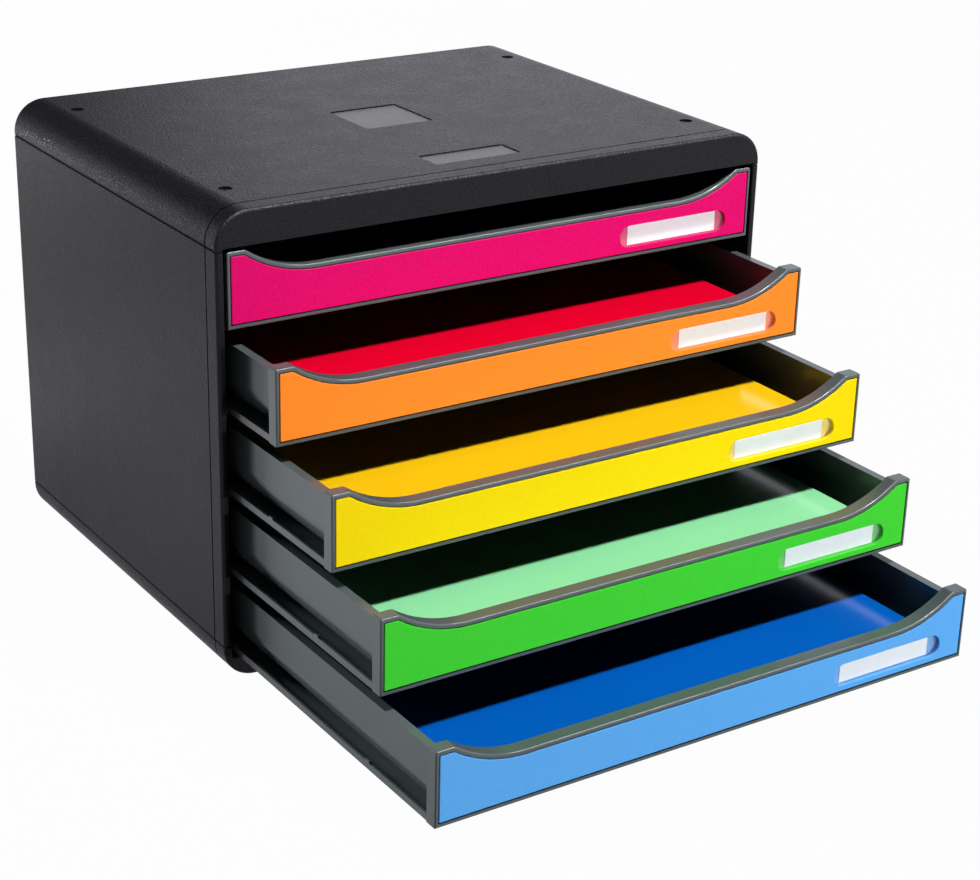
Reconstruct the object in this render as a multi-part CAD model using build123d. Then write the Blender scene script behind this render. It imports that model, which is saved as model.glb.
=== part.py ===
from build123d import *
import os
from math import asin, degrees, sqrt

# A desktop unit of five flat document drawers, in millimetres, +Z up, fronts towards -Y.
# It stands as it is used: the drawers are pulled out in steps, the top one shut.

# Casing
CASE_WIDTH = 355.0
CASE_DEPTH = 266.4
COVER_HEIGHT = 20.1  # from a seam to the outer face of the top or of the base
COVER_WALL = 3.0
SHOULDER_RADIUS = 19.0
CASE_EDGE_RADIUS = 2.0  # round the casing's front and back
POST_WIDTH = 4.2  # thickness of a side panel, seen from the front
POST_EDGE_RADIUS = 0.7  # inner edges of a side panel
BACK_WALL = 2.4
FIT_GAP = 0.2  # between pieces that are fitted together
OVERRUN = 1.0  # how far a cut runs past what it cuts

# Fine line pressed round the casing behind its front edge
LINE_SETBACK = 12.2
LINE_WIDTH = 1.1
LINE_DEPTH = 0.9

# Seams: each cover's rounded edge, and the shadow line beside it in the side panel
SEAM_ROUND = 0.9
SEAM_GROOVE = 1.0
SEAM_DEPTH = 0.9
BAND_RISE = 0.9  # front band's lower edge above the upper seam

# Bare shallow plates on the top: width, depth and the distance of the centre from the front
LARGE_PLATE_WIDTH = 44.8
LARGE_PLATE_DEPTH = 44.4
LARGE_PLATE_SETBACK = 132.5
SMALL_PLATE_WIDTH = 55.6
SMALL_PLATE_DEPTH = 19.7
SMALL_PLATE_SETBACK = 36.1
PLATE_X = -2.1  # both plates lie a little left of the middle
PLATE_SINK = 0.8
PLATE_CORNER = 1.2

# Screws through the covers into tabs on the side panels
SCREW_SIDE_INSET = 25.6
SCREW_FRONT_INSET = 38.9
SCREW_BACK_INSET = 37.1
SCREW_RADIUS = 1.5
HEAD_RADIUS = 3.7
HEAD_HEIGHT = 2.2
HEAD_SINK = 0.9  # head's top below the cover's face
DRIVE_RADIUS = 1.4
DRIVE_DEPTH = 1.2
BOSS_RADIUS = 6.0
TAB_DEPTH = 12.0  # cover's face to the tab's near side
TAB_WALL = 2.4
TAB_LENGTH = 18.0
TAB_MARGIN = 7.0
TONGUE_WALL = 1.8
TONGUE_LAP = 6.0

# Foot pads
FOOT_HEIGHT = 5.2
FOOT_RADIUS = 8.0
FOOT_EDGE_RADIUS = 0.8
FOOT_SIDE_INSET = 30.5
FOOT_END_INSET = 22.0
PEG_RADIUS = 3.0

# Drawers and the gaps round their fronts
DRAWER_COUNT = 5
FRONT_HEIGHT = 41.8
FRONT_GAP = 5.0
SIDE_GAP = 2.0
HEAD_GAP = 2.2
SILL_DROP = 4.6  # lowest front's lower edge below the lower seam
SILL_GAP = 2.4
BACK_GAP = 2.8

# Front frame with its scooped upper edge
FRONT_DEPTH = 8.0
FRONT_WEB = 1.8
RIM_SIDE = 1.6
RIM_BOTTOM = 2.0
RIM_TOP = 2.0
RIM_ROUND = 0.8
EAR_WIDTH = 10.8
EAR_CORNER = 1.5
EAR_KINK = 3.0
SCOOP_DEPTH = 13.5
SCOOP_RADIUS = 70.5

# Coloured panel set into the front frame
PANEL_THICKNESS = 3.6
PANEL_GAP = 0.6
PANEL_ROUND = 0.5
PANEL_CORNER = 0.6

# Label pocket, card and clear strip
LABEL_LENGTH = 76.5
LABEL_HEIGHT = 13.0
LABEL_RIGHT_INSET = 16.8
LABEL_CENTRE_HEIGHT = 12.3
LABEL_SINK = 2.9
WINDOW_THICKNESS = 0.8
WINDOW_GAP = 0.15
CARD_LENGTH = 63.6
CARD_HEIGHT = 11.8
CARD_THICKNESS = 0.4
CARD_PLAY = 1.25
CARD_SHIFT_SHARES = (0.4, 1.0, -0.2, 0.6, -0.4)

# Tray
TRAY_HEIGHT = 37.0
TRAY_WALL = 1.8
TRAY_SIDE_STEP = 3.9  # front frame's outer side to the tray wall's
TRAY_RADIUS = 18.4
TRAY_RIM_WIDTH = 4.9
TRAY_RIM_WALL = 2.0
FLOOR_LIFT = 0.4
FLANGE_STEP = 0.3  # front frame's outer side to the sliding flange's
LIP_WALL = 1.2
LIP_HEIGHT = 4.2
NUB_SETBACK = 62.7
NUB_LENGTH = 4.0
NUB_HEIGHT = 5.2
STOP_LENGTH = 4.0
STOP_SETBACK = 3.7
STOP_HEIGHT = 9.0

# Runners and hold-down lugs on the side panels
RUN_GAP = 0.3
RUNNER_WALL = 2.5
RUNNER_LAP = 2.4
RUNNER_BACK_INSET = 16.0
LUG_LENGTH = 31.6
LUG_WALL = 2.5
LUG_LAP = 1.8
SHUT_GAP = 0.4  # front frame to the lug that stops it when the drawer is shut

# Paper in the drawers, and how far each drawer is out, as a share of its travel
PAPER_SIDE_ROOM = 0.5  # from the stack to where the tray's floor curves up
PAPER_FRONT_ROOM = 6.0
PAPER_BACK_ROOM = 34.8
PAPER_HEIGHT = 17.8
PAPER_DRAWERS = (2, 3, 4, 5)
OPEN_SHARES = (0.0, 0.2439, 0.5118, 0.7364, 0.9807)

# Sizes that follow
HALF_WIDTH = CASE_WIDTH / 2
OPENING_HALF = HALF_WIDTH - POST_WIDTH
FRONT_HALF = OPENING_HALF - SIDE_GAP
DRAWER_PITCH = FRONT_HEIGHT + FRONT_GAP
LOWER_SEAM = FOOT_HEIGHT + COVER_HEIGHT
LOWEST_DRAWER = LOWER_SEAM - SILL_DROP
BAND_EDGE = LOWEST_DRAWER + DRAWER_COUNT * DRAWER_PITCH - FRONT_GAP + HEAD_GAP
UPPER_SEAM = BAND_EDGE - BAND_RISE
CASE_TOP = UPPER_SEAM + COVER_HEIGHT
BACK_FACE = CASE_DEPTH - COVER_WALL - FIT_GAP
TRAY_DEPTH = BACK_FACE - BACK_WALL - BACK_GAP
TRAY_HALF = FRONT_HALF - TRAY_SIDE_STEP
FLANGE_HALF = FRONT_HALF - FLANGE_STEP
FLOOR_TOP = FLOOR_LIFT + TRAY_WALL
WEB_BACK = PANEL_THICKNESS + FRONT_WEB
TONGUE_FACE = HALF_WIDTH - COVER_WALL - FIT_GAP
LUG_FRONT = FRONT_DEPTH + SHUT_GAP
LUG_BACK = LUG_FRONT + LUG_LENGTH
STOP_FRONT = TRAY_DEPTH - STOP_SETBACK - STOP_LENGTH
TRAVEL = STOP_FRONT - LUG_BACK - RUN_GAP
CASE_FRONT = (max(OPEN_SHARES) * TRAVEL - CASE_DEPTH) / 2
SCREW_X = HALF_WIDTH - SCREW_SIDE_INSET
SCREW_YS = (SCREW_FRONT_INSET, CASE_DEPTH - SCREW_BACK_INSET)
FOOT_X = HALF_WIDTH - FOOT_SIDE_INSET
FOOT_YS = (FOOT_END_INSET, CASE_DEPTH - FOOT_END_INSET)
LABEL_X = FRONT_HALF - LABEL_RIGHT_INSET - LABEL_LENGTH / 2


def block(low, high):
    """A box between two opposite corners."""
    size = [b - a for a, b in zip(low, high)]
    return Pos(*low) * Box(*size, align=(Align.MIN, Align.MIN, Align.MIN))


def back_from(start, section, depth):
    """A section, drawn in width and height, carried backwards from a distance behind the front."""
    return extrude(Plane.XZ.offset(-start) * section, amount=-depth)


def post(radius, low, high, x, y):
    """An upright cylinder between two heights."""
    return Pos(x, y, low) * Cylinder(radius, high - low, align=(Align.CENTER, Align.CENTER, Align.MIN))


def arch(width, height, radius):
    """A section that stands on height zero, with its two upper corners rounded."""
    lower_half = Pos(0, -height / 2) * Rectangle(width, height)
    return RectangleRounded(width, 2 * height, radius) - lower_half


def trough(half, floor, top, radius):
    """A section between two heights, with its two lower corners rounded."""
    height = top - floor
    upper_half = Pos(0, height / 2) * Rectangle(2 * half, height)
    return Pos(0, top) * (RectangleRounded(2 * half, 2 * height, radius) - upper_half)


def screw_places():
    """The four screw places of a cover, in width and depth."""
    return [(side * SCREW_X, y) for side in (-1, 1) for y in SCREW_YS]


def cover():
    """A lid with its seam at height zero: rounded shoulders and edges, screw bosses and the fine line."""
    lid = back_from(0, arch(CASE_WIDTH, COVER_HEIGHT, SHOULDER_RADIUS), CASE_DEPTH)
    ends = lid.faces().filter_by(Axis.Y)
    lid = fillet([edge for end in ends for edge in end.edges().sort_by(Axis.Z)[1:]], CASE_EDGE_RADIUS)
    hollow_width = CASE_WIDTH - 2 * COVER_WALL
    hollow = arch(hollow_width, COVER_HEIGHT - COVER_WALL, SHOULDER_RADIUS - COVER_WALL)
    lid -= back_from(COVER_WALL, hollow, CASE_DEPTH - 2 * COVER_WALL)
    line_width = CASE_WIDTH - 2 * LINE_DEPTH
    line = arch(CASE_WIDTH, COVER_HEIGHT, SHOULDER_RADIUS)
    line -= arch(line_width, COVER_HEIGHT - LINE_DEPTH, SHOULDER_RADIUS - LINE_DEPTH)
    lid -= back_from(LINE_SETBACK - LINE_WIDTH / 2, line, LINE_WIDTH)
    for side in (-1, 1):
        corner = Pos(side * HALF_WIDTH, 0) * Rectangle(2 * SEAM_ROUND, 2 * SEAM_ROUND)
        corner -= Pos(side * (HALF_WIDTH - SEAM_ROUND), SEAM_ROUND) * Circle(SEAM_ROUND)
        lid -= back_from(-OVERRUN, corner, CASE_DEPTH + 2 * OVERRUN)
    head_seat = COVER_HEIGHT - HEAD_SINK - HEAD_HEIGHT
    for x, y in screw_places():
        lid += post(BOSS_RADIUS, COVER_HEIGHT - TAB_DEPTH, COVER_HEIGHT - COVER_WALL / 2, x, y)
        lid -= post(SCREW_RADIUS + FIT_GAP, 0, COVER_HEIGHT + OVERRUN, x, y)
        lid -= post(HEAD_RADIUS + FIT_GAP, head_seat, COVER_HEIGHT + OVERRUN, x, y)
    return lid


def plate_sink(width, depth, setback):
    """The shallow sink of a bare plate in the top cover's face."""
    plate = Pos(PLATE_X, setback) * RectangleRounded(width, depth, PLATE_CORNER)
    return Pos(0, 0, COVER_HEIGHT - PLATE_SINK) * extrude(plate, amount=PLATE_SINK + OVERRUN)


def top_cover():
    """The top lid with its two bare plates, its front band cut a little above the seam."""
    lid = cover()
    lid -= block((-OPENING_HALF, -OVERRUN, -OVERRUN), (OPENING_HALF, COVER_WALL, BAND_RISE))
    lid -= plate_sink(LARGE_PLATE_WIDTH, LARGE_PLATE_DEPTH, LARGE_PLATE_SETBACK)
    lid -= plate_sink(SMALL_PLATE_WIDTH, SMALL_PLATE_DEPTH, SMALL_PLATE_SETBACK)
    return Pos(0, 0, UPPER_SEAM) * lid


def base_cover():
    """The base: the lid's moulding turned over, with a low sill in front and a hole for each foot's peg."""
    base = Pos(0, 0, LOWER_SEAM) * Rot(0, 180, 0) * cover()
    sill = LOWEST_DRAWER - SILL_GAP
    base -= block((-OPENING_HALF, -OVERRUN, sill), (OPENING_HALF, COVER_WALL, LOWER_SEAM + OVERRUN))
    for x, y in foot_places():
        base -= post(PEG_RADIUS + FIT_GAP, 0, FOOT_HEIGHT + COVER_WALL + OVERRUN, x, y)
    return base


def screw(x, y):
    """A screw with its head up, its head's top at height zero, and a six-sided drive."""
    head = post(HEAD_RADIUS, -HEAD_HEIGHT, 0, x, y)
    shank_end = HEAD_SINK - TAB_DEPTH - TAB_WALL
    drive = Pos(x, y, -DRIVE_DEPTH) * extrude(RegularPolygon(DRIVE_RADIUS, 6), amount=DRIVE_DEPTH + OVERRUN)
    return head + post(SCREW_RADIUS, shank_end, -HEAD_HEIGHT, x, y) - drive


def cover_screws():
    """The four screws sunk into the top."""
    return Pos(0, 0, CASE_TOP - HEAD_SINK) * (Part() + [screw(x, y) for x, y in screw_places()])


def base_screws():
    """The four screws sunk into the base, heads down."""
    screws = Part() + [screw(x, y) for x, y in screw_places()]
    return Pos(0, 0, FOOT_HEIGHT + HEAD_SINK) * Rot(0, 180, 0) * screws


def foot_places():
    """The four places of the feet, in width and depth."""
    return [(side * FOOT_X, y) for side in (-1, 1) for y in FOOT_YS]


def foot_pad(x, y):
    """A round pad with a peg that holds it in the base."""
    pad = post(FOOT_RADIUS, 0, FOOT_HEIGHT, x, y)
    pad = fillet(pad.edges().sort_by(Axis.Z)[0], FOOT_EDGE_RADIUS)
    return pad + post(PEG_RADIUS, FOOT_HEIGHT, FOOT_HEIGHT + COVER_WALL - FIT_GAP, x, y)


def drawer_height(index):
    """Height of a drawer front's lower edge, counting from the top drawer."""
    return LOWEST_DRAWER + (DRAWER_COUNT - 1 - index) * DRAWER_PITCH


def seam_lines(panel):
    """Cuts the shadow line along both seams into the panel's outer side and its front."""
    for seam, inwards in ((UPPER_SEAM, -1), (LOWER_SEAM, 1)):
        low, high = sorted((seam, seam + inwards * SEAM_GROOVE))
        side_corner = (HALF_WIDTH - SEAM_DEPTH, -OVERRUN, low)
        panel -= block(side_corner, (HALF_WIDTH + OVERRUN, CASE_DEPTH + OVERRUN, high))
        panel -= block((OPENING_HALF - OVERRUN, -OVERRUN, low), (HALF_WIDTH, SEAM_DEPTH, high))
    return panel


def screw_tongue():
    """A tongue that reaches into a cover from its seam at height zero, with a tab for each screw."""
    tongue_inner = TONGUE_FACE - TONGUE_WALL
    tongue_end = BACK_FACE - BACK_WALL - FIT_GAP
    tab_top = COVER_HEIGHT - TAB_DEPTH
    tab = tab_top - TAB_WALL
    tongue = block((tongue_inner, LINE_SETBACK, -TONGUE_LAP), (TONGUE_FACE, tongue_end, tab_top))
    for y in SCREW_YS:
        front, back = y - TAB_LENGTH / 2, y + TAB_LENGTH / 2
        tongue += block((SCREW_X - TAB_MARGIN, front, tab), (TONGUE_FACE, back, tab_top))
        tongue -= post(SCREW_RADIUS + FIT_GAP, tab - OVERRUN, tab_top + OVERRUN, SCREW_X, y)
    inset = COVER_WALL + FIT_GAP
    room = arch(2 * TONGUE_FACE, COVER_HEIGHT - inset, SHOULDER_RADIUS - inset)
    room += Pos(0, -TONGUE_LAP / 2) * Rectangle(2 * TONGUE_FACE, TONGUE_LAP)
    return tongue & back_from(0, room, CASE_DEPTH)


def runners():
    """For each drawer, the runner under its flange and the lug that holds the flange down."""
    runner_inner = FLANGE_HALF - RUNNER_LAP
    lug_inner = FLANGE_HALF - LUG_LAP
    runner_end = CASE_DEPTH - RUNNER_BACK_INSET
    pieces = Part()
    for index in range(DRAWER_COUNT):
        base = drawer_height(index)
        top = base + FLOOR_LIFT - RUN_GAP
        lug = base + NUB_HEIGHT + RUN_GAP
        pieces += block((runner_inner, LUG_FRONT, top - RUNNER_WALL), (OPENING_HALF, runner_end, top))
        pieces += block((lug_inner, LUG_FRONT, lug), (OPENING_HALF, LUG_BACK, lug + LUG_WALL))
    return pieces


def right_panel():
    """The right side panel: a slab between the seams, its lines, tongues, tabs and runners."""
    slab = block((OPENING_HALF, 0, LOWER_SEAM), (HALF_WIDTH, CASE_DEPTH, UPPER_SEAM))
    slab = fillet(slab.edges().filter_by(Axis.Z).group_by(Axis.X)[-1], CASE_EDGE_RADIUS)
    slab = fillet(slab.edges().filter_by(Axis.Z).group_by(Axis.X)[0], POST_EDGE_RADIUS)
    slab = seam_lines(slab)
    line_front = LINE_SETBACK - LINE_WIDTH / 2
    line_corner = (HALF_WIDTH - LINE_DEPTH, line_front, LOWER_SEAM)
    slab -= block(line_corner, (HALF_WIDTH + OVERRUN, line_front + LINE_WIDTH, UPPER_SEAM))
    tongue = screw_tongue()
    upper = Pos(0, 0, UPPER_SEAM) * tongue
    lower = Pos(0, 0, LOWER_SEAM) * mirror(tongue, about=Plane.XY)
    return slab + upper + lower + runners()


def back_panel():
    """The back sheet, standing on the base between the side panels, inside the covers' back walls."""
    half = OPENING_HALF - FIT_GAP
    low = (-half, BACK_FACE - BACK_WALL, FOOT_HEIGHT + COVER_WALL)
    sheet = block(low, (half, BACK_FACE, CASE_TOP - COVER_WALL - FIT_GAP))
    return chamfer(sheet.edges().filter_by(Axis.Y), SHOULDER_RADIUS - COVER_WALL)


def front_outline(side, bottom, top, corner):
    """The front's outline drawn in by a side, a bottom and a top margin: two ears and a scooped edge."""
    half = FRONT_HALF - side
    ear_top = FRONT_HEIGHT - top
    ear_start = FRONT_HALF - EAR_WIDTH
    scoop_x = ear_start - sqrt(SCOOP_RADIUS ** 2 - (SCOOP_RADIUS - SCOOP_DEPTH) ** 2)
    centre_height = FRONT_HEIGHT - SCOOP_DEPTH + SCOOP_RADIUS
    radius = SCOOP_RADIUS + top
    ear_x = scoop_x + sqrt(radius ** 2 - (centre_height - ear_top) ** 2)
    sweep = degrees(asin((ear_x - scoop_x) / radius))
    low = centre_height - radius
    edges = Curve() + [
        Polyline((-ear_x, ear_top), (-half, ear_top), (-half, bottom)),
        Polyline((-half, bottom), (half, bottom), (half, ear_top), (ear_x, ear_top)),
        CenterArc((scoop_x, centre_height), radius, -90, sweep),
        Line((scoop_x, low), (-scoop_x, low)),
        CenterArc((-scoop_x, centre_height), radius, -90, -sweep),
    ]
    face = make_face(edges)
    ears = face.vertices().group_by(Axis.Y)[-1].sort_by(Axis.X)
    face = fillet([ears[0], ears[-1]], corner)
    kinks = [v for v in face.vertices() if abs(abs(v.X) - ear_x) < EAR_KINK and v.Y > low + SCOOP_DEPTH / 2]
    return fillet(kinks, EAR_KINK)


def front_frame():
    """The drawer front's frame: a rim round the scooped outline, with a web behind the panel."""
    frame = back_from(0, front_outline(0, 0, 0, EAR_CORNER), FRONT_DEPTH)
    frame = fillet(frame.faces().sort_by(Axis.Y)[0].edges(), RIM_ROUND)
    inside = front_outline(RIM_SIDE, RIM_BOTTOM, RIM_TOP, PANEL_CORNER)
    frame -= back_from(-OVERRUN, inside, PANEL_THICKNESS + OVERRUN)
    frame -= back_from(WEB_BACK, inside, FRONT_DEPTH - WEB_BACK + OVERRUN)
    return frame


def drawer_tray():
    """The tray behind its front frame: rounded trough, turned-in rim, sliding flanges, nubs and stops."""
    length = TRAY_DEPTH - PANEL_THICKNESS
    trough_back = TRAY_DEPTH - TRAY_WALL
    tray = back_from(PANEL_THICKNESS, trough(TRAY_HALF, FLOOR_LIFT, TRAY_HEIGHT, TRAY_RADIUS), length)
    rim_underside = TRAY_HEIGHT - TRAY_RIM_WALL
    inner = trough(TRAY_HALF - TRAY_WALL, FLOOR_TOP, rim_underside, TRAY_RADIUS - TRAY_WALL)
    tray -= back_from(PANEL_THICKNESS - OVERRUN, inner, trough_back - PANEL_THICKNESS + OVERRUN)
    mouth_half = TRAY_HALF - TRAY_RIM_WIDTH
    mouth_low = (-mouth_half, PANEL_THICKNESS - OVERRUN, FLOOR_TOP + TRAY_RADIUS)
    tray -= block(mouth_low, (mouth_half, TRAY_DEPTH - TRAY_RIM_WIDTH, TRAY_HEIGHT + OVERRUN))
    for side in (-1, 1):
        tray += flange(side)
    return tray + front_frame()


def flange(side):
    """One sliding flange along the tray's floor, with its lip, a nub near the front and a stop at the back."""
    floor_edge = TRAY_HALF - TRAY_RADIUS
    lip_inner = FLANGE_HALF - LIP_WALL
    stop_back = STOP_FRONT + STOP_LENGTH
    nub_back = NUB_SETBACK + NUB_LENGTH
    strips = block((floor_edge, WEB_BACK, FLOOR_LIFT), (FLANGE_HALF, TRAY_DEPTH, FLOOR_TOP))
    strips += block((lip_inner, WEB_BACK, FLOOR_LIFT), (FLANGE_HALF, TRAY_DEPTH, LIP_HEIGHT))
    strips += block((lip_inner, NUB_SETBACK, FLOOR_LIFT), (FLANGE_HALF, nub_back, NUB_HEIGHT))
    strips += block((lip_inner, STOP_FRONT, FLOOR_LIFT), (FLANGE_HALF, stop_back, STOP_HEIGHT))
    return strips if side > 0 else mirror(strips, about=Plane.YZ)


def label_slot(gap):
    """The label pocket's round-ended outline, drawn in by a gap."""
    slot = SlotOverall(LABEL_LENGTH - 2 * gap, LABEL_HEIGHT - 2 * gap)
    return Pos(LABEL_X, LABEL_CENTRE_HEIGHT) * slot


def front_panel():
    """The coloured panel, rounded along its front edge, with a blind pocket for the label."""
    margins = [rim + PANEL_GAP for rim in (RIM_SIDE, RIM_BOTTOM, RIM_TOP)]
    outline = front_outline(*margins, PANEL_CORNER)
    panel = back_from(0, outline, PANEL_THICKNESS)
    panel = fillet(panel.faces().sort_by(Axis.Y)[0].edges(), PANEL_ROUND)
    return panel - back_from(-OVERRUN, label_slot(0), LABEL_SINK + OVERRUN)


def label_window():
    """The clear strip in the pocket, in front of the card."""
    return back_from(LABEL_SINK - CARD_THICKNESS - WINDOW_THICKNESS, label_slot(WINDOW_GAP), WINDOW_THICKNESS)


def label_card(index):
    """The white card on the pocket's floor, pushed a little to one side in each drawer."""
    x = LABEL_X + CARD_SHIFT_SHARES[index] * CARD_PLAY
    card = Pos(x, LABEL_CENTRE_HEIGHT) * Rectangle(CARD_LENGTH, CARD_HEIGHT)
    return back_from(LABEL_SINK - CARD_THICKNESS, card & label_slot(WINDOW_GAP), CARD_THICKNESS)


def paper_stack():
    """A stack of paper lying crosswise on the tray's floor."""
    half = TRAY_HALF - TRAY_RADIUS - PAPER_SIDE_ROOM
    front = WEB_BACK + PAPER_FRONT_ROOM
    back = TRAY_DEPTH - TRAY_WALL - PAPER_BACK_ROOM
    return block((-half, front, FLOOR_TOP), (half, back, FLOOR_TOP + PAPER_HEIGHT))


def casing_nodes():
    """Every piece that stands still, by name."""
    panel = right_panel()
    return {
        "top_cover": top_cover(),
        "base_cover": base_cover(),
        "side_panel_left": mirror(panel, about=Plane.YZ),
        "side_panel_right": panel,
        "back_panel": back_panel(),
        "cover_screws": cover_screws(),
        "base_screws": base_screws(),
        "foot_pads": Part() + [foot_pad(x, y) for x, y in foot_places()],
    }


def drawer_nodes():
    """The pieces of every drawer, by name, each drawer pulled out by its share of the travel."""
    tray, panel, window, paper = drawer_tray(), front_panel(), label_window(), paper_stack()
    nodes = {}
    for index, share in enumerate(OPEN_SHARES):
        number = index + 1
        place = Pos(0, -share * TRAVEL, drawer_height(index))
        nodes[f"drawer_tray_{number}"] = place * tray
        nodes[f"front_panel_{number}"] = place * panel
        nodes[f"label_window_{number}"] = place * window
        nodes[f"label_card_{number}"] = place * label_card(index)
        if number in PAPER_DRAWERS:
            nodes[f"paper_stack_{number}"] = place * paper
    return nodes


os.makedirs("parts", exist_ok=True)
for name, shape in (casing_nodes() | drawer_nodes()).items():
    export_step(Pos(0, CASE_FRONT, 0) * shape, f"parts/{name}.step")
print("travel", round(TRAVEL, 2), "casing front", round(CASE_FRONT, 3), "height", round(CASE_TOP, 2))
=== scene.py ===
import math

import bpy
import numpy as np
from bpy.props import FloatProperty, FloatVectorProperty, IntProperty, PointerProperty
from mathutils import Matrix, Vector


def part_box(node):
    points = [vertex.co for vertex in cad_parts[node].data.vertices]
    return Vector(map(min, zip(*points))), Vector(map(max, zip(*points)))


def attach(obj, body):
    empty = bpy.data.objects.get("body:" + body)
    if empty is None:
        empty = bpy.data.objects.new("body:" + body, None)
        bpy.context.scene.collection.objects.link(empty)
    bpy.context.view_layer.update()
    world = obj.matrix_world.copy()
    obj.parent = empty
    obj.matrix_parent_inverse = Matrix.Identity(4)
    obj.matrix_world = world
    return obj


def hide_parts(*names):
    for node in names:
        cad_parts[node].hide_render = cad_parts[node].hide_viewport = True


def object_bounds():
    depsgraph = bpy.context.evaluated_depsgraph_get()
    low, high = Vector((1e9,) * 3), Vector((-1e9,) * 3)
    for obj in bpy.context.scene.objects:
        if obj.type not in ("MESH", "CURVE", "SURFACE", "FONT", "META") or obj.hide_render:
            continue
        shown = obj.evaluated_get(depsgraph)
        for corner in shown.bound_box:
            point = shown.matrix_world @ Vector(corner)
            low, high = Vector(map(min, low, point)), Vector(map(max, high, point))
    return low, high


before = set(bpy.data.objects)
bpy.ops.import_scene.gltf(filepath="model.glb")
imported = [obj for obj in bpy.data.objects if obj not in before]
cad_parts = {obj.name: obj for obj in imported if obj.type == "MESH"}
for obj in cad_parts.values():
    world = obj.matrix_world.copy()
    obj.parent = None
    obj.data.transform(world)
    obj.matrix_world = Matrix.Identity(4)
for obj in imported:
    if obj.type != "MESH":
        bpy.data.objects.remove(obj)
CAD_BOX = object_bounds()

bl_info = {
    "name": "Document drawer unit",
    "version": (1, 0, 0),
    "blender": (4, 5, 0),
    "location": "View3D > Sidebar > Drawers",
    "description": "Finishes and lights a desktop unit of five document drawers",
    "category": "Object",
}

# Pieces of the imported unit
DRAWERS = (1, 2, 3, 4, 5)
PAPER_DRAWERS = (2, 3, 4, 5)
COVER_NODES = ("top_cover", "base_cover")
PANEL_NODES = ("side_panel_left", "side_panel_right", "back_panel")
SCREW_NODES = ("cover_screws", "base_screws")
FOOT_NODES = ("foot_pads",)
FRONT_COLOURS = ("pink", "orange", "yellow", "green", "blue")
PAPER_COLOURS = ("red", "amber", "mint", "azure")

# How far the grain shows in each front's colour, from the top drawer down
FRONT_SPREADS = (0.24, 0.06, 0.06, 0.1, 0.08)

# Bare plates on the top, in metres: centre and half size in the plan
LARGE_PLATE = (-0.0021, 0.10227), (0.0224, 0.0222)
SMALL_PLATE = (-0.0021, 0.00587), (0.0278, 0.00985)

# Heights of fine surface texture, in metres
TRAY_TEXTURE = 0.00002
FRONT_TEXTURE = 0.00006
CARD_TEXTURE = 0.00001
PAPER_TEXTURE = 0.00002
RUBBER_TEXTURE = 0.00003

# Label cards are shrunk a little, in metres, so that they lie free of the strips over them
CARD_SHRINK = 0.0001

# Top of a paper stack: points across and along, and the turn and start of each of its crossed waves
PAPER_GRID = (33, 25)
ACROSS_WAVE = (2.2 * math.pi, 0.7)
ALONG_WAVE = (1.3 * math.pi, 0.4)

# Undersides, which get painted shade, have an upward part of their outward direction below this
DOWN_LIMIT = -0.95

# Product of the outward direction's Y and Z where a front edge starts to be dull, and where it is fully so
EDGE_FADE = (-0.05, -0.35)

# Colours of the painted shade on the trays' undersides, and of the clear strips
UNDERSIDE_PAINTED_SHADE = (0.008, 0.008, 0.009, 1)
STRIP_CLEAR = (0.9, 0.93, 0.95, 1)

# Colours of the stage, the last one the cool white of the room in its mirror image
WHITE = (1, 1, 1, 1)
FLOOR_SHADE = (0.15, 0.15, 0.15, 1)
CARD_BLACK = (0.01, 0.01, 0.01, 1)
MIRROR_TINT = (0.91, 0.915, 1.0, 1.0)

# Floor: half its width and its drop below the feet, in metres, and how white it is to the eye
FLOOR_HALF = 6.0
FLOOR_DROP = 0.0002
FLOOR_PALE = 0.98

# Dark card behind the unit, in metres: left and right ends, foot and top, and how far back it stands
CARD_ENDS = (-3.0, 0.75)
CARD_RISE = (0.05, 2.6)
CARD_BACK = 1.5

# Lamps, in metres: place, target, size, whether each lights surfaces, and whether gloss mirrors it
LAMPS = {
    "key": ((0.4, -0.55, 2.0), (0, -0.05, 0.15), (0.18, 0.18), True, True),
    "front": ((1.3, -2.3, 0.04), (0, -0.1, 0.1), (1.2, 0.06), True, False),
    "side": ((-0.59, 2.2, 0.26), (-0.17, -0.1, 0.12), (0.66, 0.3), True, False),
    "edge": ((0.3, -0.7, 1.9), (0.3, -0.1, 0.2), (2.6, 0.45), False, True),
}

# Width of the camera's sensor, in millimetres
SENSOR = 36


def colour_property(name, words, default):
    """A colour that a user can change."""
    return FloatVectorProperty(
        name=name, description=words, subtype="COLOR", size=3, min=0, max=1, default=default)


def length_property(name, words, default):
    """A length in metres that a user can change."""
    return FloatProperty(name=name, description=words, unit="LENGTH", precision=5, default=default)


def angle_property(name, words, degrees):
    """An angle that a user can change."""
    return FloatProperty(name=name, description=words, subtype="ANGLE", default=math.radians(degrees))


def power_property(name, words, default):
    """A lamp's power in watts that a user can change."""
    return FloatProperty(name=name, description=words, unit="POWER", default=default)


class UnitCasing(bpy.types.PropertyGroup):
    """Looks of the grey plastic, the screws and the feet."""
    shell: colour_property("Casing", "Dark grey of the casing", (0.0095, 0.0095, 0.0115))
    tray: colour_property("Trays", "Grey of the drawers' trays and front frames", (0.078, 0.095, 0.099))
    screw: colour_property("Screws", "Black of the screw heads", (0.008, 0.008, 0.009))
    rubber: colour_property("Feet", "Black of the rubber pads", (0.02, 0.02, 0.02))
    plate: colour_property("Plates", "Grey of the bare plates on the top", (0.12, 0.12, 0.127))
    grain: length_property("Grain", "Height of the covers' fine grain", 0.00045)
    panel_grain: length_property("Panel grain", "Height of the side panels' finer grain", 0.0002)


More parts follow.
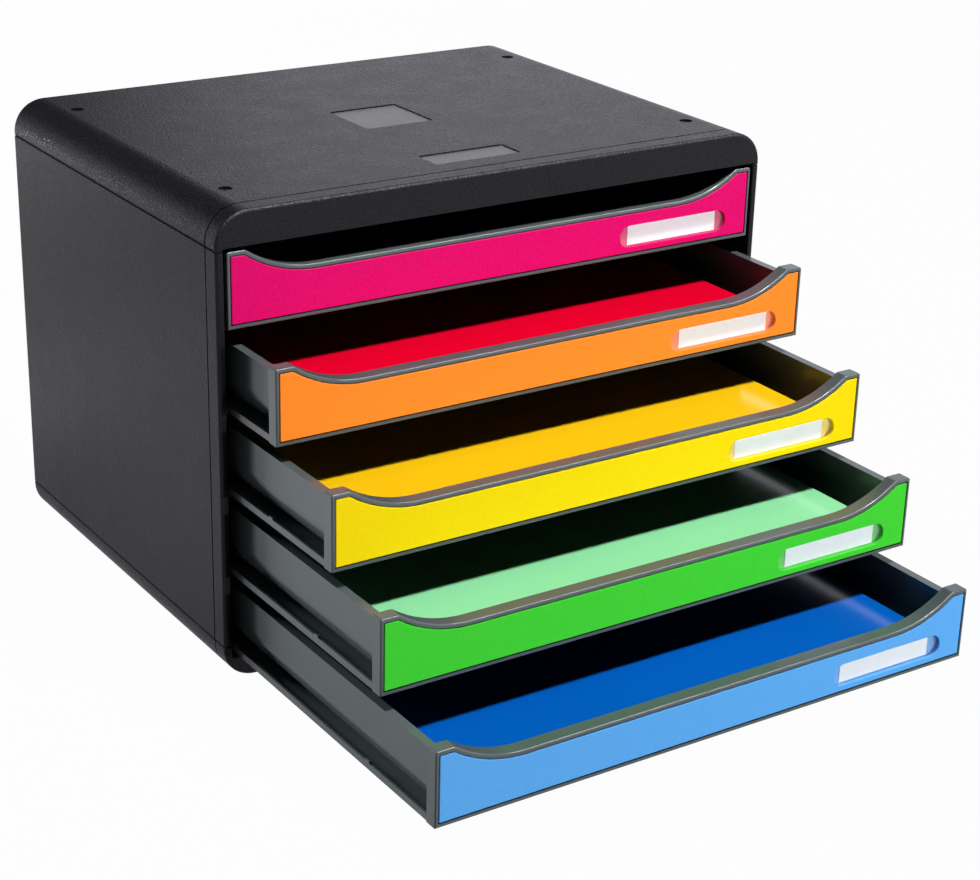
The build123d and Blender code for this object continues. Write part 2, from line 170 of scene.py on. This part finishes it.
class UnitFronts(bpy.types.PropertyGroup):
    """Colours of the front panels from the top drawer down, and of the label cards."""
    pink: colour_property("Drawer 1", "Front of the top drawer", (0.645, 0.0008, 0.128))
    orange: colour_property("Drawer 2", "Front of the second drawer", (0.96, 0.238, 0.021))
    yellow: colour_property("Drawer 3", "Front of the third drawer", (0.86, 0.645, 0.0))
    green: colour_property("Drawer 4", "Front of the fourth drawer", (0.045, 0.565, 0.028))
    blue: colour_property("Drawer 5", "Front of the lowest drawer", (0.098, 0.365, 0.79))
    card: colour_property("Card", "White of the label cards", (0.83, 0.87, 0.9))


class UnitPaper(bpy.types.PropertyGroup):
    """Looks of the paper in the drawers."""
    red: colour_property("Drawer 2", "Paper in the second drawer", (0.778, 0.0004, 0.0243))
    amber: colour_property("Drawer 3", "Paper in the third drawer", (0.995, 0.558, 0.0055))
    mint: colour_property("Drawer 4", "Paper in the fourth drawer", (0.276, 0.758, 0.371))
    azure: colour_property("Drawer 5", "Paper in the lowest drawer", (0.0004, 0.1047, 0.496))
    sheets: IntProperty(
        name="Sheets", description="Layers seen at the stack's edges", default=45, min=4, max=120)
    play: length_property("Play", "How far sheets stand out of line", 0.0003)
    wave: length_property("Wave", "How far the top sheet is from flat", 0.0002)


class UnitStage(bpy.types.PropertyGroup):
    """Camera and light."""
    place: FloatVectorProperty(
        name="Camera", description="Where the camera stands", subtype="TRANSLATION", size=3,
        default=(-0.656, -0.99739, 0.5932))
    azimuth: angle_property("Azimuth", "Camera's turn about the upright axis", -33.835)
    elevation: angle_property("Elevation", "Camera's tilt above the horizon", 22.392)
    roll: angle_property("Roll", "Camera's turn about its own line of sight", 1.502)
    lens: FloatProperty(
        name="Lens", description="Focal length, in millimetres", unit="CAMERA", default=81.4, min=10, max=200)
    key: power_property("Key light", "Power of the light overhead", 47)
    front: power_property("Front light", "Power of the low front light", 57.5)
    side: power_property("Side light", "Power of the light behind on the left", 260)
    edge: power_property("Edge light", "Power of the strip that rounded edges mirror", 145)
    ambient: FloatProperty(
        name="Ambient", description="Strength of the even light from all round", default=0.003)


class Wire:
    """A shader value. Python's operators on it add Math nodes."""

    def __init__(self, recipe, socket):
        self.recipe = recipe
        self.socket = socket

    def math(self, operation, *others):
        """A Math node on this value and then the others."""
        return self.recipe.math(operation, self, *others)

    def __add__(self, other):
        return self.math("ADD", other)

    def __sub__(self, other):
        return self.math("SUBTRACT", other)

    def __rsub__(self, other):
        return self.recipe.math("SUBTRACT", other, self)

    def __mul__(self, other):
        return self.math("MULTIPLY", other)

    __radd__ = __add__
    __rmul__ = __mul__


class Recipe:
    """The nodes of a material or a world."""

    def __init__(self, owner):
        owner.use_nodes = True
        self.owner = owner
        self.tree = owner.node_tree
        self.tree.nodes.clear()

    def node(self, kind, settings=None, sockets=None, out=0):
        """Adds a node of a type, sets its settings, feeds its sockets and gives one of its outputs."""
        made = self.tree.nodes.new("ShaderNode" + kind)
        for key, value in (settings or {}).items():
            setattr(made, key, value)
        for key, value in (sockets or {}).items():
            self.feed(made.inputs[key], value)
        return Wire(self, made.outputs[out])

    def feed(self, socket, value):
        """Links a wire to a socket, or sets a constant on it."""
        if isinstance(value, Wire):
            self.tree.links.new(value.socket, socket)
        else:
            socket.default_value = value

    def math(self, operation, *values):
        """A Math node on wires and numbers."""
        return self.node("Math", {"operation": operation}, dict(enumerate(values)))

    def coordinates(self, kind="Object"):
        """Texture coordinates of a kind. Object coordinates are in metres."""
        return self.node("TexCoord", out=kind)

    def part(self, axis, kind="Object"):
        """One axis of the texture coordinates of a kind. Normal gives the outward direction, from -1 to 1."""
        return self.node("SeparateXYZ", sockets={0: self.coordinates(kind)}, out=axis)

    def ramp(self, value, start, end, low=0.0, high=1.0, shape="LINEAR"):
        """A value that runs from low to high as another runs from start to end."""
        return self.node("MapRange", {"interpolation_type": shape}, {
            "Value": value, "From Min": start, "From Max": end, "To Min": low, "To Max": high})

    def facing_down(self):
        """1 on faces that look straight down, and 0 on the rest."""
        return self.part("Z", "Normal").math("LESS_THAN", DOWN_LIMIT)

    def front_edge(self):
        """1 half way round an edge from front to top, or back to bottom, fading to 0 on the faces by it."""
        return self.ramp(self.part("Y", "Normal") * self.part("Z", "Normal"), *EDGE_FADE)

    def noise(self, cells, detail=2.0, roughness=0.5):
        """Noise from 0 to 1 with so many cells to the metre."""
        return self.node("TexNoise", sockets={
            "Vector": self.coordinates(), "Scale": cells, "Detail": detail, "Roughness": roughness})

    def patch(self, plan):
        """1 inside a rectangle of the plan, given by its centre and half its size, and 0 outside it."""
        inside = 1.0
        for axis, centre, reach in zip("XY", *plan):
            offset = (self.part(axis) - centre).math("ABSOLUTE")
            inside = offset.math("LESS_THAN", reach) * inside
        return inside

    def mix(self, factor, one, two):
        """A colour between two colours."""
        return self.node("Mix", {"data_type": "RGBA"}, {0: factor, 6: one, 7: two}, out=2)

    def tint(self, factor, colour, spread):
        """A colour that runs from a little darker to a little lighter."""
        dark = (*(c * (1 - spread) for c in colour), 1)
        light = (*(min(1, c * (1 + spread)) for c in colour), 1)
        return self.mix(factor, dark, light)

    def bump(self, height, distance, strength):
        """A surface normal from a height between 0 and 1."""
        return self.node("Bump", sockets={"Height": height, "Distance": distance, "Strength": strength})

    def rays(self, *kinds):
        """1 on rays of the named kinds, and 0 on the rest."""
        total = 0.0
        for kind in kinds:
            total = self.node("LightPath", out=f"Is {kind} Ray") + total
        return total.math("MINIMUM", 1.0)

    def views(self):
        """Two masks: what the eye sees, straight or through clear plastic, and what it sees mirrored."""
        eye = self.rays("Camera", "Transmission")
        return eye, self.rays("Glossy") * (1 - eye)

    def close(self, shader, end="OutputMaterial"):
        """Ends the nodes with a shader and gives back what they belong to."""
        self.feed(self.tree.nodes.new("ShaderNode" + end).inputs["Surface"], shader)
        return self.owner

    def finish(self, **sockets):
        """Ends the material with one Principled shader, whose sockets are named with underscores."""
        named = {key.replace("_", " "): value for key, value in sockets.items()}
        return self.close(self.node("BsdfPrincipled", sockets=named))


def fresh(name):
    """The recipe of a new material."""
    return Recipe(bpy.data.materials.new(name))


def casing_plastic(name, look, grain):
    """Dark plastic with a fine grain that catches the light, dull front edges, and smooth paler plates."""
    recipe = fresh(name)
    fine = recipe.noise(820, detail=1)
    broad = recipe.noise(40, detail=4, roughness=0.6)
    plate = recipe.patch(LARGE_PLATE) + recipe.patch(SMALL_PLATE)
    grained = recipe.tint(fine, look.shell, spread=0.5)
    return recipe.finish(
        Base_Color=recipe.mix(plate, grained, (*look.plate, 1)),
        Roughness=0.09 + broad * 0.15 + fine * 0.31 + plate * 0.05 + recipe.front_edge() * 0.22,
        Specular_IOR_Level=0.14,
        Normal=recipe.bump(fine * (1 - plate), grain, strength=0.8),
    )


def tray_plastic(colour):
    """Smooth satin plastic of the trays and their front frames, matt underneath, with painted shade that
    darkens the undersides.
    """
    recipe = fresh("tray_plastic")
    soft = recipe.noise(900)
    broad = recipe.noise(25, detail=3)
    under = recipe.facing_down()
    return recipe.finish(
        # Painted shade: faces that look down get a near-black colour, so that little light bounces onto the
        # shaded paper below them
        Base_Color=recipe.mix(under, recipe.tint(broad, colour, spread=0.06), UNDERSIDE_PAINTED_SHADE),
        Roughness=0.16 + broad * 0.08 + under * 0.7,
        Specular_IOR_Level=0.42,
        Normal=recipe.bump(soft, TRAY_TEXTURE, strength=0.4),
    )


def front_plastic(name, colour, spread):
    """Coloured satin plastic with a soft leather grain."""
    recipe = fresh("front_" + name)
    grain = recipe.noise(620, detail=3, roughness=0.6)
    broad = recipe.noise(18)
    return recipe.finish(
        Base_Color=recipe.tint(grain, colour, spread),
        Roughness=0.45 + broad * 0.08,
        Specular_IOR_Level=0.14,
        Normal=recipe.bump(grain, FRONT_TEXTURE, strength=0.5),
    )


def clear_strip():
    """Clear plastic of the label windows, a little hazy."""
    recipe = fresh("clear_strip")
    haze = recipe.noise(160, detail=3)
    return recipe.finish(
        Base_Color=STRIP_CLEAR,
        Roughness=0.1,
        Alpha=0.05 + haze * 0.05,
    )


def card_stock(colour):
    """White card with faint fibres."""
    recipe = fresh("card_stock")
    fibre = recipe.noise(1400, detail=3)
    return recipe.finish(
        Base_Color=recipe.tint(fibre, colour, spread=0.03),
        Roughness=0.8,
        Normal=recipe.bump(fibre, CARD_TEXTURE, strength=0.3),
    )


def coated_paper(name, colour):
    """Coloured paper with a coated face that mirrors softly, and faint fibres."""
    recipe = fresh("paper_" + name)
    fibre = recipe.noise(700, detail=4, roughness=0.6)
    broad = recipe.noise(9, detail=3)
    return recipe.finish(
        Base_Color=recipe.tint(fibre * 0.5 + broad * 0.5, colour, spread=0.1),
        Roughness=0.1 + broad * 0.08,
        Normal=recipe.bump(fibre, PAPER_TEXTURE, strength=0.35),
    )


def screw_black(colour):
    """Blackened steel, a little worn."""
    recipe = fresh("screw_black")
    worn = recipe.noise(900, detail=3)
    return recipe.finish(
        Base_Color=recipe.tint(worn, colour, spread=0.3),
        Metallic=0.4,
        Roughness=0.16 + worn * 0.12,
    )


def foot_rubber(colour):
    """Dull black rubber."""
    recipe = fresh("foot_rubber")
    skin = recipe.noise(1100, detail=3)
    return recipe.finish(
        Base_Color=recipe.tint(skin, colour, spread=0.2),
        Roughness=0.75 + skin * 0.15,
        Normal=recipe.bump(skin, RUBBER_TEXTURE, strength=0.5),
    )


def pale_floor():
    """White floor with a soft shadow, whose mirror image has painted shade that darkens it towards the unit
    and behind it.
    """
    recipe = fresh("pale_floor")
    shaded = recipe.node("BsdfDiffuse", sockets={"Color": FLOOR_SHADE})
    eye, mirrored = recipe.views()
    away = 0.0
    for axis, low, high in zip("XY", *CAD_BOX):
        along = recipe.part(axis)
        away = (low - along).math("MAXIMUM", along - high).math("MAXIMUM", away)
    # Painted shade in the mirror image: darker near the unit, as if in its contact shadow, and darker behind
    # it
    painted_contact_shade = recipe.ramp(away, start=0.0, end=0.3, low=0.25, high=0.95, shape="SMOOTHSTEP")
    behind = recipe.ramp(recipe.part("Y"), start=0.15, end=0.65, low=1.62, high=0.36)
    colour = recipe.mix(eye, MIRROR_TINT, WHITE)
    white = recipe.node("Emission", sockets={"Color": colour, "Strength": 1.0})
    pale = eye * FLOOR_PALE + mirrored * painted_contact_shade * behind
    return recipe.close(recipe.node("MixShader", sockets={0: pale, 1: shaded, 2: white}))


def dark_card():
    """Black card that keeps the pale wall out of the gloss, and fades out at its right end and left foot."""
    recipe = fresh("dark_card")
    across, upwards = recipe.part("X"), recipe.part("Z")
    inwards = recipe.ramp(across, start=0.25, end=CARD_ENDS[1], low=1.0, high=0.0, shape="SMOOTHSTEP")
    foot = recipe.ramp(upwards + across * 0.9, start=-0.45, end=0.25, shape="SMOOTHSTEP")
    black = recipe.node("BsdfDiffuse", sockets={"Color": CARD_BLACK})
    clear = recipe.node("BsdfTransparent")
    return recipe.close(recipe.node("MixShader", sockets={0: inwards * foot, 1: clear, 2: black}))


def studio_world(ambient):
    """A white room with a dark ceiling in its mirror image, dim as light."""
    recipe = Recipe(bpy.data.worlds.new("studio"))
    wall = recipe.ramp(recipe.part("Z", "Generated"), start=0.5, end=0.75, low=1.0, high=0.04)
    eye, mirrored = recipe.views()
    strength = ambient + eye * (1 - ambient) + mirrored * (wall - ambient)
    colour = recipe.mix(mirrored, WHITE, MIRROR_TINT)
    sky = recipe.node("Background", sockets={"Color": colour, "Strength": strength})
    bpy.context.scene.world = recipe.close(sky, "OutputWorld")


def dress(names, material):
    """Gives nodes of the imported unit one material."""
    for name in names:
        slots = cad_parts[name].data.materials
        slots.clear()
        slots.append(material)


def drawer_nodes(kind):
    """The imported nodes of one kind, from the top drawer down."""
    return [f"{kind}_{number}" for number in DRAWERS]


def colours_of(group, names):
    """The chosen colours of a property group, in order, with their names."""
    return [(name, getattr(group, name)) for name in names]


def mesh_piece(name, points, faces, material):
    """A new object at the origin from points and faces."""
    mesh = bpy.data.meshes.new(name)
    mesh.from_pydata(points, [], faces)
    mesh.update()
    mesh.materials.append(material)
    piece = bpy.data.objects.new(name, mesh)
    bpy.context.scene.collection.objects.link(piece)
    return piece


def sheet_piece(name, corners, material):
    """A new flat object with four corners."""
    return mesh_piece(name, corners, [(0, 1, 2, 3)], material)


def ripple(share, turn, start):
    """The cosine of an angle that begins at start and has grown by turn when the share reaches 1."""
    return np.cos(turn * share + start)


def stack_surface(low, high, sheets, play, wave, seed):
    """A closed stack of sheets between two corners, as points and faces.

    The top is a grid whose height is the stack's top less a wave of two crossed cosines. Its edge is a loop
    that goes down the stack in two rows a sheet, each sheet moved by its own small random step, and the last
    row is closed by one face."""
    columns, rows = PAPER_GRID
    x, y = np.meshgrid(np.linspace(low[0], high[0], columns), np.linspace(low[1], high[1], rows))
    across = (x - low[0]) / (high[0] - low[0])
    along = (y - low[1]) / (high[1] - low[1])
    dip = wave * (1 - ripple(across, *ACROSS_WAVE) * ripple(along, *ALONG_WAVE)) / 2
    top = np.stack([x, y, high[2] - dip], axis=-1).reshape(-1, 3)
    index = np.arange(rows * columns).reshape(rows, columns)
    loop = np.concatenate([index[0, :-1], index[:-1, -1], index[-1, :0:-1], index[:0:-1, 0]])
    steps = np.random.default_rng(seed).uniform(-play, play, (sheets, 2))
    thick = (high[2] - low[2]) / sheets
    levels = high[2] - thick * np.arange(sheets + 1)
    rings = np.repeat(top[None, loop], 2 * sheets, axis=0)
    rings[:, :, :2] += np.repeat(steps, 2, axis=0)[:, None, :]
    rings[0::2, :, 2] = levels[:-1, None]
    rings[1::2, :, 2] = levels[1:, None]
    rings[0, :, 2] = top[loop, 2]
    points = np.concatenate([top, rings.reshape(-1, 3)])
    squares = np.stack([index[:-1, :-1], index[:-1, 1:], index[1:, 1:], index[1:, :-1]], axis=-1)
    ring = len(top) + np.arange(2 * sheets * len(loop)).reshape(2 * sheets, len(loop))
    ladder = np.concatenate([loop[None], ring])
    after = np.roll(ladder, -1, axis=1)
    walls = np.stack([ladder[:-1], ladder[1:], after[1:], after[:-1]], axis=-1)
    faces = squares.reshape(-1, 4).tolist() + walls.reshape(-1, 4).tolist() + [ring[-1][::-1].tolist()]
    return points, faces


def soft_light(name, place, target, size, power, lights, mirrored):
    """A soft box that faces a point, and lights surfaces, is mirrored in gloss, or both."""
    lamp = bpy.data.lights.new(name, "AREA")
    lamp.shape = "RECTANGLE"
    lamp.size, lamp.size_y = size
    lamp.energy = power
    light = bpy.data.objects.new(name, lamp)
    light.location = place
    light.visible_camera = False
    light.visible_diffuse = lights
    light.visible_glossy = mirrored
    light.rotation_euler = (Vector(target) - Vector(place)).to_track_quat("-Z", "Y").to_euler()
    bpy.context.scene.collection.objects.link(light)


def set_camera(look):
    """A camera at the chosen place, turned by azimuth, elevation and roll."""
    turn, tilt = look.azimuth, look.elevation
    back = Vector((math.sin(turn) * math.cos(tilt), -math.cos(turn) * math.cos(tilt), math.sin(tilt)))
    right = Vector((0, 0, 1)).cross(back).normalized()
    up = back.cross(right)
    level, rolled = math.cos(look.roll), math.sin(look.roll)
    axes = Matrix((right * level + up * rolled, up * level - right * rolled, back)).transposed()
    data = bpy.data.cameras.new("camera")
    data.sensor_width = SENSOR
    data.lens = look.lens
    camera = bpy.data.objects.new("camera", data)
    camera.matrix_world = Matrix.Translation(look.place) @ axes.to_4x4()
    bpy.context.scene.collection.objects.link(camera)
    bpy.context.scene.camera = camera


class UNIT_OT_casing(bpy.types.Operator):
    """Finish the casing's covers and panels"""
    bl_idname = "unit.casing"
    bl_label = "Casing"

    def execute(self, context):
        look = context.scene.unit_casing
        dress(COVER_NODES, casing_plastic("cover_plastic", look, look.grain))
        dress(PANEL_NODES, casing_plastic("panel_plastic", look, look.panel_grain))
        return {"FINISHED"}


class UNIT_OT_fittings(bpy.types.Operator):
    """Finish the screws and the foot pads"""
    bl_idname = "unit.fittings"
    bl_label = "Screws and feet"

    def execute(self, context):
        look = context.scene.unit_casing
        dress(SCREW_NODES, screw_black(look.screw))
        dress(FOOT_NODES, foot_rubber(look.rubber))
        return {"FINISHED"}


class UNIT_OT_trays(bpy.types.Operator):
    """Finish the drawers' trays"""
    bl_idname = "unit.trays"
    bl_label = "Trays"

    def execute(self, context):
        dress(drawer_nodes("drawer_tray"), tray_plastic(context.scene.unit_casing.tray))
        return {"FINISHED"}


class UNIT_OT_fronts(bpy.types.Operator):
    """Finish the coloured front panels"""
    bl_idname = "unit.fronts"
    bl_label = "Front panels"

    def execute(self, context):
        colours = colours_of(context.scene.unit_fronts, FRONT_COLOURS)
        for node, (name, colour), spread in zip(drawer_nodes("front_panel"), colours, FRONT_SPREADS):
            dress([node], front_plastic(name, colour, spread))
        return {"FINISHED"}


class UNIT_OT_labels(bpy.types.Operator):
    """Finish the label cards and the clear strips over them"""
    bl_idname = "unit.labels"
    bl_label = "Labels"

    def execute(self, context):
        dress(drawer_nodes("label_card"), card_stock(context.scene.unit_fronts.card))
        dress(drawer_nodes("label_window"), clear_strip())
        for name in drawer_nodes("label_card"):
            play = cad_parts[name].modifiers.new("play", "DISPLACE")
            play.mid_level = 0
            play.strength = -CARD_SHRINK
        return {"FINISHED"}


class UNIT_OT_paper(bpy.types.Operator):
    """Lay the stacks of coloured paper in the drawers"""
    bl_idname = "unit.paper"
    bl_label = "Paper"

    def execute(self, context):
        look = context.scene.unit_paper
        for number, (name, colour) in zip(PAPER_DRAWERS, colours_of(look, PAPER_COLOURS)):
            node = f"paper_stack_{number}"
            low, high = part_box(node)
            points, faces = stack_surface(low, high, look.sheets, look.play, look.wave, number)
            stack = mesh_piece(f"paper_sheets_{number}", points, faces, coated_paper(name, colour))
            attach(stack, f"drawer_{number}")
            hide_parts(node)
        return {"FINISHED"}


class UNIT_OT_stage(bpy.types.Operator):
    """Set the floor, the lights and the camera"""
    bl_idname = "unit.stage"
    bl_label = "Stage"

    def execute(self, context):
        look = context.scene.unit_stage
        ends = ((-1, -1), (1, -1), (1, 1), (-1, 1))
        corners = [(x * FLOOR_HALF, y * FLOOR_HALF, -FLOOR_DROP) for x, y in ends]
        sheet_piece("floor", corners, pale_floor())
        (left, right), (foot, top) = CARD_ENDS, CARD_RISE
        corners = [(x, CARD_BACK, z) for x, z in ((left, foot), (right, foot), (right, top), (left, top))]
        card = sheet_piece("dark_card", corners, dark_card())
        card.visible_camera = card.visible_diffuse = card.visible_shadow = card.visible_transmission = False
        for name, (place, target, size, lights, mirrored) in LAMPS.items():
            soft_light(name, place, target, size, getattr(look, name), lights, mirrored)
        studio_world(look.ambient)
        set_camera(look)
        context.scene.view_settings.view_transform = "Standard"
        return {"FINISHED"}


class UNIT_PT_sidebar(bpy.types.Panel):
    """Lists the steps that finish the unit, and their settings"""
    bl_idname = "UNIT_PT_sidebar"
    bl_label = "Drawer unit"
    bl_space_type = "VIEW_3D"
    bl_region_type = "UI"
    bl_category = "Drawers"

    def draw(self, context):
        for step in STEPS:
            self.layout.operator(step.bl_idname)
        for group in GROUPS:
            settings = getattr(context.scene, group)
            for name in settings.__annotations__:
                self.layout.prop(settings, name)


GROUPS = {
    "unit_casing": UnitCasing,
    "unit_fronts": UnitFronts,
    "unit_paper": UnitPaper,
    "unit_stage": UnitStage,
}
STEPS = (
    UNIT_OT_casing,
    UNIT_OT_fittings,
    UNIT_OT_trays,
    UNIT_OT_fronts,
    UNIT_OT_labels,
    UNIT_OT_paper,
    UNIT_OT_stage,
)


def register():
    for made in (*GROUPS.values(), *STEPS, UNIT_PT_sidebar):
        bpy.utils.register_class(made)
    for name, group in GROUPS.items():
        setattr(bpy.types.Scene, name, PointerProperty(type=group))


def unregister():
    for name in GROUPS:
        delattr(bpy.types.Scene, name)
    for made in (UNIT_PT_sidebar, *reversed(STEPS), *GROUPS.values()):
        bpy.utils.unregister_class(made)


def main():
    register()
    bpy.ops.unit.casing()
    bpy.ops.unit.fittings()
    bpy.ops.unit.trays()
    bpy.ops.unit.fronts()
    bpy.ops.unit.labels()
    bpy.ops.unit.paper()
    bpy.ops.unit.stage()


if __name__ == "__main__":
    main()
